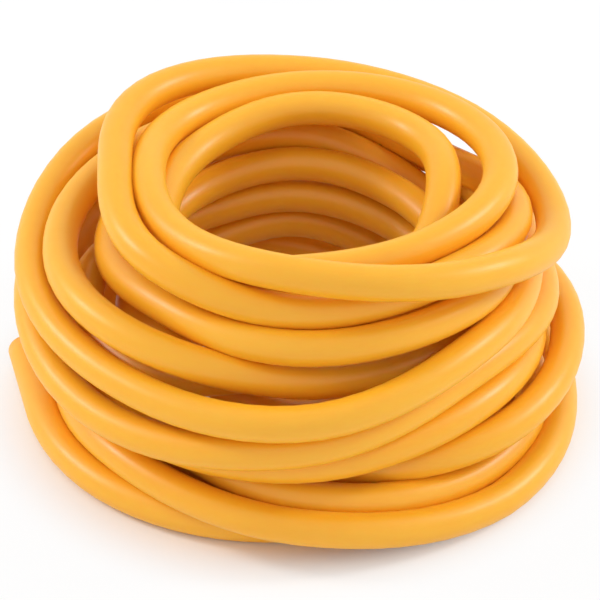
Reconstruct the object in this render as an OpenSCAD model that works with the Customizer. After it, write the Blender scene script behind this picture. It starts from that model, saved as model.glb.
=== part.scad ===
// Rubber tubing coil: one length of natural rubber tubing, wound by hand into a loose round coil
// that lies flat on a bench. The wound turns are one closed ring with the tubing's round backs on
// every side, and the two cut ends are open tube. Sizes are in millimetres. The coil lies on z = 0
// with its axis upright, and the middle of the whole part's box is over the origin.

/* [Tubing] */
// Bore of the tubing, the size that it is sold by
tube_bore = 6; // [4:0.5:8]
// Thickness of the rubber wall
tube_wall = 1.5; // [1:0.25:2]

/* [Coil] */
// Diameter across the outside of the coil
coil_outside = 150; // [140:2:190]
// Diameter of the open eye at its narrowest
eye_diameter = 64; // [50:2:70]
// Height of the coil as it lies
coil_height = 76; // [66:1:96]
// How far the coil's weight presses the lowest turns flat on the bench
flat_spot = 0.4; // [0.2:0.1:0.8]

/* [Ends] */
// Length of the cut end that shows beside the coil
near_end_length = 17; // [14:1:24]
// Length of the cut end that lies behind the coil
far_end_length = 46; // [44:1:54]
// Angle by which the near end leans away from the coil
near_end_lean = 9; // [6:0.5:12]

/* [Hidden] */
$fn = 48;
tube_od = tube_bore + 2 * tube_wall;
// Most that two neighbouring turns may stand apart, a little under one tube
turn_pitch = 0.97 * tube_od;
// Middle of the outermost turn, the innermost turn, the lowest layer and the highest layer
outer_reach = (coil_outside - tube_od) / 2;
inner_reach = (eye_diameter + tube_od) / 2;
low = tube_od / 2 - flat_spot;
high = coil_height - tube_od / 2;
// The ends lie a little outside the lowest turn, on the bench
end_reach = outer_reach + 0.1 * tube_od;
end_height = tube_od / 2;
// The channel that each end lies in runs on past the cut, so that the bore stays open
channel_length = coil_outside / 2;
// How far the part reaches to the left and to the back, ends included
left_reach = end_reach + near_end_length * sin(near_end_lean) + end_height * cos(near_end_lean);
back_reach = end_reach + end_height;
// Where the coil's axis stands, so that the box is centred
coil_centre = [(left_reach - coil_outside / 2) / 2, (coil_outside / 2 - back_reach) / 2, 0];
// Corners of the bundle's section as reach and height, outside wall first, then over the top to the eye
section_corners = [
    [outer_reach, low],
    [outer_reach, low + 0.6 * (high - low)],
    [inner_reach + 0.5 * (outer_reach - inner_reach), high],
    [inner_reach + 0.25 * (outer_reach - inner_reach), high],
    [inner_reach, low + 0.8 * (high - low)],
    [inner_reach, low + 0.5 * (high - low)],
    [inner_reach + 0.2 * (outer_reach - inner_reach), low],
    [outer_reach, low]
];

// Turns between two corners, evenly spaced, without the second corner
function turns_between(a, b) =
    let (count = ceil(norm(b - a) / turn_pitch))
    [for (k = [0 : count - 1]) a + (b - a) * k / count];

// Middles of all the turns that show on the bundle's section
section_turns = [
    for (i = [0 : len(section_corners) - 2])
        each turns_between(section_corners[i], section_corners[i + 1])
];

// Section of the whole bundle: round turns along its edge, filled inside, and flat on the bench
module bundle_section() {
    intersection() {
        union() {
            polygon(section_turns);
            for (turn = section_turns)
                translate(turn) circle(d = tube_od);
        }
        square([coil_outside, coil_height + tube_od]);
    }
}

// Puts a tube's start at the left of the coil, pointing away from the viewer and a little out
module at_near_end() {
    translate([-end_reach, 0, end_height]) rotate([-90, 0, near_end_lean]) children();
}

// Puts a tube's start at the back of the coil, pointing to the left
module at_far_end() {
    translate([0, end_reach, end_height]) rotate([0, -90, 0]) children();
}

// Open tube of the given length
module tube(length) {
    difference() {
        cylinder(d = tube_od, h = length);
        translate([0, 0, -1]) cylinder(d = tube_bore, h = length + 2);
    }
}

// The wound turns as one closed ring, with a channel for each end
module turns() {
    color("orange")
    difference() {
        rotate_extrude() bundle_section();
        at_near_end() cylinder(d = tube_od, h = channel_length);
        at_far_end() cylinder(d = tube_od, h = channel_length);
    }
}

// The cut end that shows at the coil's left
module near_end() {
    color("orange") at_near_end() tube(near_end_length);
}

// The cut end that lies on the bench behind the coil
module far_end() {
    color("orange") at_far_end() tube(far_end_length);
}

translate(coil_centre) turns();
translate(coil_centre) near_end();
translate(coil_centre) far_end();
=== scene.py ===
"""Rubber tubing coil: one length of soft natural rubber tubing, wound by hand into a loose coil.

The tubing is one hollow tube, carried along a route that goes round the coil's axis nearly fifteen
times. Everything is in metres, in the same frame as the solids.
"""
import math

import bpy
import numpy as np
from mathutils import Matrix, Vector


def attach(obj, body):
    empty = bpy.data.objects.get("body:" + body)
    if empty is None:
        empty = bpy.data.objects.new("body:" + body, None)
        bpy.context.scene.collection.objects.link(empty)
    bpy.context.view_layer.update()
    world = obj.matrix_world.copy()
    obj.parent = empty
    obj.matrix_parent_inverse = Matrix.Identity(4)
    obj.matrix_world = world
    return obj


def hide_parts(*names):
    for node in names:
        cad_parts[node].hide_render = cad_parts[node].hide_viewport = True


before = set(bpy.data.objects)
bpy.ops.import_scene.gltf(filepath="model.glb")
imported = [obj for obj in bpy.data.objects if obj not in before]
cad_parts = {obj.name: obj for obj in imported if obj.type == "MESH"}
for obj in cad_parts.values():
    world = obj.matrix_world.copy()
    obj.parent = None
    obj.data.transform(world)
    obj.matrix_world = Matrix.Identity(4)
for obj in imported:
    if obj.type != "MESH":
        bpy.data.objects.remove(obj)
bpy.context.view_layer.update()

# The tubing, the rounding of its cut edges, and the place of the coil's axis on the bench.
TUBE_OD = 0.009
TUBE_BORE = 0.006
CUT_EDGE = 0.0003
COIL_AXIS = np.array([0.00175, -0.00045, 0.0])

# The route: each row is one turn, clockwise from above, and each pair is the reach from the axis and
# the height above the bench in tube diameters. A row starts at the right and goes on by an eighth of
# a turn: right, front right, front, front left, left, back left, back, back right.
TURNS = [
    # two turns on the bench and the wide ones on them
    (7.65, 0.5), (7.95, 0.5), (7.75, 1.2), (7.0, 1.5), (6.75, 1.0), (7.2, 1.9), (7.3, 2.2), (7.9, 2.2),
    (7.8, 2.5), (7.3, 2.25), (5.3, 1.3), (5.6, 0.6), (5.5, 1.0), (6.2, 0.6), (6.1, 1.0), (6.1, 2.4),
    (6.6, 2.85), (6.85, 3.2), (7.0, 2.75), (6.75, 2.55), (7.0, 3.0), (7.4, 3.7), (7.3, 3.4), (7.45, 3.15),
    (7.0, 3.75), (6.6, 4.2), (7.5, 3.65), (7.6, 3.15), (7.78, 3.7), (8.15, 4.6), (7.2, 4.9), (7.7, 4.2),
    (6.5, 4.7), (6.85, 5.2), (7.7, 4.65), (7.35, 4.5), (7.7, 4.95), (7.85, 6.0), (7.2, 6.2), (6.55, 4.95),
    # through the bundle and up over its shoulder
    (5.85, 5.5), (6.25, 6.1), (6.2, 6.05), (5.45, 5.95), (5.4, 5.45), (5.4, 5.75), (5.1, 5.95), (5.2, 4.8),
    (5.15, 4.2), (5.4, 4.3), (5.95, 4.8), (6.9, 5.7), (6.8, 5.75), (6.4, 6.05), (6.15, 6.25), (5.8, 5.8),
    # the three loose turns on top
    (6.1, 6.5), (5.75, 7.0), (5.5, 6.75), (5.7, 7.5), (5.2, 7.9), (6.1, 7.9), (6.25, 7.45), (6.85, 6.75),
    (7.2, 6.2), (6.8, 7.5), (5.6, 8.0), (4.65, 7.75), (4.28, 7.75), (4.8, 7.5), (5.15, 7.55), (5.75, 7.5),
    (5.65, 7.65), (4.9, 7.55), (4.5, 7.35), (4.5, 6.7), (3.85, 6.85), (3.8, 7.1), (4.1, 7.45), (4.4, 7.35),
    # down the eye's wall to the bench
    (4.05, 7.4), (4.1, 6.3), (4.1, 5.7), (4.2, 5.7), (4.3, 5.05), (4.35, 5.2), (4.2, 5.5), (4.15, 5.2),
    (4.4, 4.9), (4.7, 5.3), (4.9, 4.65), (6.35, 4.25), (6.0, 4.35), (4.6, 4.2), (4.25, 4.35), (4.2, 4.0),
    (4.1, 3.75), (4.4, 3.7), (4.95, 2.85), (5.05, 4.35), (4.8, 3.6), (4.5, 3.1), (4.5, 3.3), (5.0, 2.2),
    (6.7, 1.2), (7.05, 0.95), (6.85, 1.55), (5.75, 2.05), (6.1, 2.1), (6.0, 2.3), (5.0, 2.0), (5.1, 0.9),
    # under the bundle and out to the near end
    (5.8, 0.5), (6.05, 0.5), (6.7, 0.5), (7.3, 0.5), (7.75, 0.5), (8.6, 0.5), (9.5, 0.5),
]
# The far end comes in along the back, and these two stations lead from it to the first turn.
LEAD_IN = [(7.9, 0.5), (7.8, 0.5)]
# Each end is straight, from its foot on the route to its cut face.
FAR_END_LENGTH = 0.046
NEAR_END_LENGTH = 0.0245
# Stations from the far end's foot to the near end's foot: the lead in, the whole turns, and the last
# turn to a little before its left.
STATIONS_PER_TURN = 8
WHOLE_TURNS = 14
LAST_TURN_STATIONS = 3.85
ROUTE_STATIONS = len(LEAD_IN) + STATIONS_PER_TURN * WHOLE_TURNS + LAST_TURN_STATIONS
# Rings of the mesh along the route, from station to station, and on each straight end, and sides round it.
RINGS_PER_STATION = 9
FAR_END_RINGS = 12
NEAR_END_RINGS = 6
END_RING_GAP = 0.003
SIDES = 28

# Light on the coil: the room's level, and a soft box on each side, a little behind it.
ROOM_LEVEL = 0.86
LAMP_SIDE = 0.9
LAMP_BACK = 0.15
LAMP_HEIGHT = 0.6
LAMP_SIZE = 0.22
LAMP_POWER = 3.6
LAMP_AIM = (0, 0, 0.04)
# Reach on the bench within which it shows as it is lit, and from which it is nearly plain white.
LIT_REACH = 0.064
WHITE_REACH = 0.088
WHITE_SHARE = 0.9
# The camera's aim above the bench, on the coil's axis, its distance, and its rise above the level.
AIM_HEIGHT = 0.0309
CAMERA_DISTANCE = 0.765
CAMERA_RISE = math.radians(34)


def linear(hex_colour):
    """Linear RGB of an sRGB hex value: c / 12.92 below 0.04045, else ((c + 0.055) / 1.055) ** 2.4."""
    part = np.array([int(hex_colour[i : i + 2], 16) for i in (1, 3, 5)]) / 255
    return np.where(part <= 0.04045, part / 12.92, ((part + 0.055) / 1.055) ** 2.4)


def smooth(stations, at):
    """Catmull-Rom cubic through evenly spaced stations, read at the places in the array at."""
    first = np.floor(at).astype(int)
    part = (at - first)[:, None]
    p, q, r, s = (stations[np.clip(first + k, 0, len(stations) - 1)] for k in (-1, 0, 1, 2))
    return q + part / 2 * ((r - p) + part * ((2 * p - 5 * q + 4 * r - s) + part * (3 * q - p - 3 * r + s)))


def tubing_route():
    """Centreline of the tubing: reach and height turned about the axis, with a straight run on each end."""
    at = np.linspace(0, ROUTE_STATIONS, int(ROUTE_STATIONS * RINGS_PER_STATION) + 1)
    reach, height = smooth(np.array(LEAD_IN + TURNS), at).T * TUBE_OD
    height = np.maximum(height, TUBE_OD / 2)
    turn = (at - len(LEAD_IN)) * 2 * math.pi / STATIONS_PER_TURN
    wound = np.stack([reach * np.cos(turn), -reach * np.sin(turn), height], 1)
    far_way = np.array([-1.0, 0.0, 0.0])
    near_way = wound[-1] - wound[-2]
    near_way = near_way / np.linalg.norm(near_way)
    far_run = wound[0] + np.linspace(FAR_END_LENGTH, END_RING_GAP, FAR_END_RINGS)[:, None] * far_way
    near_run = wound[-1] + np.linspace(END_RING_GAP, NEAR_END_LENGTH, NEAR_END_RINGS)[:, None] * near_way
    return np.concatenate([far_run, wound, near_run]) + COIL_AXIS


def along(route):
    """Distance from the route's start to each of its points."""
    return np.concatenate([[0], np.cumsum(np.linalg.norm(np.diff(route, axis=0), axis=1))])


def ring_frames(route):
    """Two directions across the route at each point: side is tangent x up, and over is side x tangent."""
    tangent = np.gradient(route, axis=0)
    tangent /= np.linalg.norm(tangent, axis=1)[:, None]
    side = np.cross(tangent, [0.0, 0.0, 1.0])
    side /= np.linalg.norm(side, axis=1)[:, None]
    return tangent, side, np.cross(side, tangent)


def hollow_tube(route):
    """Closed hollow tube, and the route's point of each of its rings.

    The rings go out along the route at the outer radius, over the end's cut face, back along the bore, and
    over the start's cut face. Each ring is middle + radius * (cos(angle) * side + sin(angle) * over). The
    two rings at each edge of a cut face stand back from it, so that the edge is rounded.
    """
    tangent, side, over = ring_frames(route)
    outer = TUBE_OD / 2
    inner = TUBE_BORE / 2
    count = len(route)
    last = count - 1
    order = np.concatenate([np.arange(count), [last, last], np.arange(count)[::-1], [0, 0]])
    end_face = [outer - CUT_EDGE, inner + CUT_EDGE]
    start_face = [inner + CUT_EDGE, outer - CUT_EDGE]
    radius = np.concatenate([np.full(count, outer), end_face, np.full(count, inner), start_face])
    push = np.zeros(len(order))
    push[count - 1] = push[count + 2] = -CUT_EDGE
    push[0] = push[2 * count + 1] = CUT_EDGE
    angle = (np.arange(SIDES) * 2 * math.pi / SIDES)[None, :, None]
    across = np.cos(angle) * side[order][:, None] + np.sin(angle) * over[order][:, None]
    middle = route[order] + push[:, None] * tangent[order]
    grid = middle[:, None] + radius[:, None, None] * across
    return grid, order


def grid_mesh(name, grid):
    """Mesh of a grid that closes on itself both ways, with faces that point out of the rubber."""
    rows, columns = grid.shape[:2]
    index = np.arange(rows * columns).reshape(rows, columns)
    next_row = np.roll(index, -1, axis=0)
    corners = [index, np.roll(index, -1, axis=1), np.roll(next_row, -1, axis=1), next_row]
    mesh = bpy.data.meshes.new(name)
    mesh.from_pydata(grid.reshape(-1, 3).tolist(), [], np.stack(corners, -1).reshape(-1, 4).tolist())
    mesh.shade_smooth()
    mesh.update()
    return mesh


route = tubing_route()
grid, order = hollow_tube(route)
tubing_mesh = grid_mesh("tubing", grid)
distance = along(route)
tubing = bpy.data.objects.new("tubing", tubing_mesh)
bpy.context.scene.collection.objects.link(tubing)

# The place of each vertex on the tubing as if it lay straight: along it, and across by cosine and sine.
turned = np.tile(np.arange(SIDES) * 2 * math.pi / SIDES, len(order))
run = np.repeat(distance[order], SIDES)
straight = np.stack([run, np.cos(turned) * TUBE_OD / 2, np.sin(turned) * TUBE_OD / 2], 1)
straight_place = tubing_mesh.attributes.new("straight_place", "FLOAT_VECTOR", "POINT")
straight_place.data.foreach_set("vector", straight.astype(np.float32).ravel())


def add(tree, kind, settings=None, **links):
    """Adds one node: settings are its own values, and links give its sockets a value or an output.

    A socket goes by its name with _ for a space, or by its number after an s.
    """
    node = tree.nodes.new(kind)
    for name, value in (settings or {}).items():
        setattr(node, name, value)
    for name, value in links.items():
        socket = node.inputs[int(name[1:])] if name[1:].isdigit() else node.inputs[name.replace("_", " ")]
        if isinstance(value, bpy.types.NodeSocket):
            tree.links.new(value, socket)
        else:
            socket.default_value = value
    return node


def natural_rubber():
    """Natural rubber, extruded and cured: amber, translucent and satin.

    Light goes a few millimetres into the wall, so thin edges and the places between turns glow a deeper
    orange. The extrusion leaves faint lines along the tube, and a dusty bloom makes the gloss uneven.
    """
    material = bpy.data.materials.new("natural_rubber_extruded")
    material.use_nodes = True
    tree = material.node_tree
    shader = tree.nodes["Principled BSDF"]
    place = add(tree, "ShaderNodeAttribute", {"attribute_name": "straight_place"}).outputs["Vector"]
    # Slow change of shade along the tube: patches about 60 mm long and as wide as the tube.
    drawn_out = add(tree, "ShaderNodeMapping", None, Vector=place, Scale=(17.0, 110.0, 110.0))
    shade = add(tree, "ShaderNodeTexNoise", None, Vector=drawn_out.outputs[0], Scale=1.0, Detail=3.0)
    # Clouding inside the wall: blotches of about 4 mm.
    cloud = add(tree, "ShaderNodeTexNoise", None, Vector=place, Scale=250.0, Detail=2.0, Roughness=0.6)
    mixed = add(tree, "ShaderNodeMath", {"operation": "MULTIPLY"}, s0=shade.outputs["Fac"], s1=0.7)
    mixed = add(
        tree,
        "ShaderNodeMath",
        {"operation": "MULTIPLY_ADD"},
        s0=cloud.outputs["Fac"],
        s1=0.3,
        s2=mixed.outputs[0],
    )
    amber = add(tree, "ShaderNodeValToRGB", None, s0=mixed.outputs[0])
    amber.color_ramp.elements[0].position = 0.3
    amber.color_ramp.elements[0].color = (*linear("#F9AF20"), 1)
    amber.color_ramp.elements[1].position = 0.7
    amber.color_ramp.elements[1].color = (*linear("#FBB72C"), 1)
    tree.links.new(amber.outputs["Color"], shader.inputs["Base Color"])
    # Bloom: soft dusty patches of about 12 mm, which dull the satin by a little.
    bloom = add(tree, "ShaderNodeTexNoise", None, Vector=place, Scale=85.0, Detail=4.0, Roughness=0.6)
    haze = bloom.outputs["Fac"]
    dull = add(tree, "ShaderNodeMapRange", None, Value=haze, s1=0.3, s2=0.7, s3=0.35, s4=0.45)
    tree.links.new(dull.outputs[0], shader.inputs["Roughness"])
    # Extrusion lines: 0.5 mm apart round the tube and very long, drawn coarser than life so that they show.
    stretched = add(tree, "ShaderNodeMapping", None, Vector=place, Scale=(20.0, 2000.0, 2000.0))
    lines = add(tree, "ShaderNodeTexNoise", None, Vector=stretched.outputs[0], Scale=1.0, Detail=1.0)
    relief = add(tree, "ShaderNodeBump", None, Strength=0.06, Distance=0.0002, Height=lines.outputs["Fac"])
    tree.links.new(relief.outputs["Normal"], shader.inputs["Normal"])
    shader.inputs["IOR"].default_value = 1.52
    shader.inputs["Subsurface Weight"].default_value = 0.35
    shader.inputs["Subsurface Radius"].default_value = (1.0, 0.5, 0.1)
    shader.inputs["Subsurface Scale"].default_value = 0.002
    return material


tubing_mesh.materials.append(natural_rubber())

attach(tubing, "root")
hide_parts("turns", "near_end", "far_end")


def stage_floor():
    """White bench: one large flat sheet, shown as plain white where the camera looks past the object."""
    half = 3
    corners = [(-half, -half, 0), (half, -half, 0), (half, half, 0), (-half, half, 0)]
    mesh = bpy.data.meshes.new("bench")
    mesh.from_pydata(corners, [], [(0, 1, 2, 3)])
    floor = bpy.data.objects.new("bench", mesh)
    bpy.context.scene.collection.objects.link(floor)
    material = bpy.data.materials.new("white_bench")
    material.use_nodes = True
    tree = material.node_tree
    matt = tree.nodes["Principled BSDF"]
    matt.inputs["Base Color"].default_value = (*linear("#F4F4F4"), 1)
    matt.inputs["Roughness"].default_value = 0.8
    white = add(tree, "ShaderNodeEmission", None, Color=(1, 1, 1, 1), Strength=1.0)
    ray = add(tree, "ShaderNodeLightPath").outputs
    summed = {"operation": "ADD"}
    seen = add(tree, "ShaderNodeMath", summed, s0=ray["Is Camera Ray"], s1=ray["Is Glossy Ray"])
    seen = add(tree, "ShaderNodeMath", summed, s0=seen.outputs[0], s1=ray["Is Transmission Ray"])
    # The bench stays as it is lit under the coil, and goes over to plain white a little outside it.
    place = add(tree, "ShaderNodeTexCoord").outputs["Object"]
    away = add(tree, "ShaderNodeVectorMath", {"operation": "LENGTH"}, s0=place).outputs["Value"]
    clear = add(
        tree,
        "ShaderNodeMapRange",
        {"interpolation_type": "SMOOTHSTEP"},
        Value=away,
        s1=LIT_REACH,
        s2=WHITE_REACH,
        s3=0.0,
        s4=WHITE_SHARE,
    )
    share = add(tree, "ShaderNodeMath", {"operation": "MULTIPLY"}, s0=seen.outputs[0], s1=clear.outputs[0])
    both = add(tree, "ShaderNodeMixShader", None, s0=share.outputs[0], s1=matt.outputs[0])
    tree.links.new(white.outputs[0], both.inputs[2])
    tree.links.new(both.outputs[0], tree.nodes["Material Output"].inputs["Surface"])
    mesh.materials.append(material)


def soft_lamp(name, place):
    """Square soft box at a place, turned to the coil."""
    lamp = bpy.data.lights.new(name, "AREA")
    lamp.size = LAMP_SIZE
    lamp.energy = LAMP_POWER
    lamp_object = bpy.data.objects.new(name, lamp)
    bpy.context.scene.collection.objects.link(lamp_object)
    lamp_object.location = place
    way = Vector(LAMP_AIM) - Vector(place)
    lamp_object.rotation_euler = way.to_track_quat("-Z", "Y").to_euler()


def photograph_camera():
    """Camera 34 degrees above the bench, far enough back for the photograph's weak perspective."""
    target = Vector(COIL_AXIS) + Vector((0, 0, AIM_HEIGHT))
    camera = bpy.data.cameras.new("camera")
    camera.sensor_width = 36
    camera.lens = 176
    camera.clip_start = 0.05
    camera.clip_end = 20
    camera_object = bpy.data.objects.new("camera", camera)
    bpy.context.scene.collection.objects.link(camera_object)
    back = Vector((0, -math.cos(CAMERA_RISE), math.sin(CAMERA_RISE)))
    camera_object.location = target + CAMERA_DISTANCE * back
    camera_object.rotation_euler = (-back).to_track_quat("-Z", "Y").to_euler()
    bpy.context.scene.camera = camera_object


def studio_world():
    """Even white room light, which the camera sees as plain white."""
    world = bpy.data.worlds.new("studio")
    bpy.context.scene.world = world
    world.use_nodes = True
    tree = world.node_tree
    ray = add(tree, "ShaderNodeLightPath").outputs["Is Camera Ray"]
    level = add(tree, "ShaderNodeMapRange", None, Value=ray, s1=0.0, s2=1.0, s3=ROOM_LEVEL, s4=1.0)
    tree.nodes["Background"].inputs["Color"].default_value = (1, 1, 1, 1)
    tree.links.new(level.outputs[0], tree.nodes["Background"].inputs["Strength"])


stage_floor()
soft_lamp("left", (-LAMP_SIDE, LAMP_BACK, LAMP_HEIGHT))
soft_lamp("right", (LAMP_SIDE, LAMP_BACK, LAMP_HEIGHT))
photograph_camera()
studio_world()
bpy.context.scene.view_settings.view_transform = "Standard"
